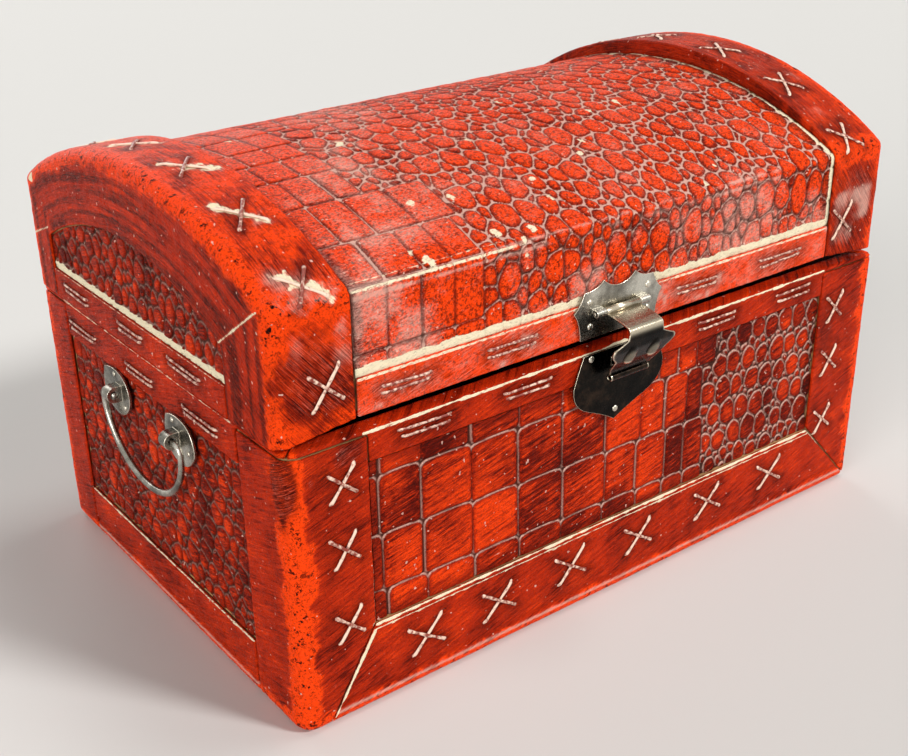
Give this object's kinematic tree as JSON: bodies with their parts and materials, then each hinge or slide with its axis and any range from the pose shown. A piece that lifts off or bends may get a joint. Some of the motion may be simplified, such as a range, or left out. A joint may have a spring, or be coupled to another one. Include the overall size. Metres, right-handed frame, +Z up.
{
  "type": "dome top trunk",
  "caption": "Small dome top trunk in antiqued red crocodile-embossed leather on a board carcass, with laced border straps, a snap hasp latch and bail handles.",
  "frame": {"origin": "centre of the flat underside, on the surface that the trunk stands on", "axes": "+X along the trunk to its right as seen from the front, +Y to the back, +Z up. The latch side faces -Y"},
  "size_m": [0.3202, 0.2204, 0.1957],
  "materials": {
    "strap_leather": "antiqued semi-gloss, worn to orange at the corners",
    "embossed_leather": "crocodile-embossed, antiqued, semi-gloss",
    "carcass_wood": "bare",
    "lining_cloth": "matte",
    "pewter_steel": "aged pewter plate",
    "bronzed_steel": "dark bronze lacquer"
  },
  "bodies": {
    "trunk_body": {"body_front_board": "carcass_wood", "body_back_board": "carcass_wood", "body_left_board": "carcass_wood", "body_right_board": "carcass_wood", "body_bottom_board": "carcass_wood", "front_left_corner_strap": "strap_leather", "front_right_corner_strap": "strap_leather", "back_left_corner_strap": "strap_leather", "back_right_corner_strap": "strap_leather", "front_foot_strap": "strap_leather", "back_foot_strap": "strap_leather", "left_foot_strap": "strap_leather", "right_foot_strap": "strap_leather", "front_rim_strap": "strap_leather", "back_rim_strap": "strap_leather", "left_rim_strap": "strap_leather", "right_rim_strap": "strap_leather", "front_panel": "embossed_leather", "back_panel": "embossed_leather", "left_panel": "embossed_leather", "right_panel": "embossed_leather", "body_lining": "lining_cloth", "latch_lower_plate": "bronzed_steel", "left_hinge_lower_leaf": "pewter_steel", "right_hinge_lower_leaf": "pewter_steel", "left_hinge_pin": "pewter_steel", "right_hinge_pin": "pewter_steel", "left_back_rose": "pewter_steel", "left_front_rose": "pewter_steel", "right_back_rose": "pewter_steel", "right_front_rose": "pewter_steel"},
    "lid": {"lid_front_rail": "carcass_wood", "lid_back_rail": "carcass_wood", "lid_left_gable": "carcass_wood", "lid_right_gable": "carcass_wood", "lid_dome_board": "carcass_wood", "left_arch_strap": "strap_leather", "right_arch_strap": "strap_leather", "lid_left_rim_strap": "strap_leather", "lid_right_rim_strap": "strap_leather", "lid_front_rim_strap": "strap_leather", "lid_back_rim_strap": "strap_leather", "dome_panel": "embossed_leather", "left_gable_panel": "embossed_leather", "right_gable_panel": "embossed_leather", "lid_lining": "lining_cloth", "latch_upper_plate": "pewter_steel", "latch_pin": "pewter_steel", "left_hinge_upper_leaf": "pewter_steel", "right_hinge_upper_leaf": "pewter_steel"},
    "hasp": {"latch_hasp": "bronzed_steel"},
    "left_handle": {"left_bail": "pewter_steel"},
    "right_handle": {"right_bail": "pewter_steel"}
  },
  "joints": [
    {"name": "lid_hinge", "type": "hinge", "parent": "trunk_body", "child": "lid", "pos_m": [0, 0.1033, 0.1149], "axis": [-1, 0, 0], "range_deg": [0, 105]},
    {"name": "hasp_hinge", "type": "hinge", "parent": "lid", "child": "hasp", "pos_m": [-0.0042, -0.1019, 0.1295], "axis": [-1, 0, 0], "range_deg": [0, 105]},
    {"name": "left_bail_swing", "type": "hinge", "parent": "trunk_body", "child": "left_handle", "pos_m": [-0.1568, 0.001, 0.0915], "axis": [0, 1, 0], "range_deg": [-3, 165]},
    {"name": "right_bail_swing", "type": "hinge", "parent": "trunk_body", "child": "right_handle", "pos_m": [0.1568, 0.001, 0.0915], "axis": [0, -1, 0], "range_deg": [-3, 165]}
  ]
}
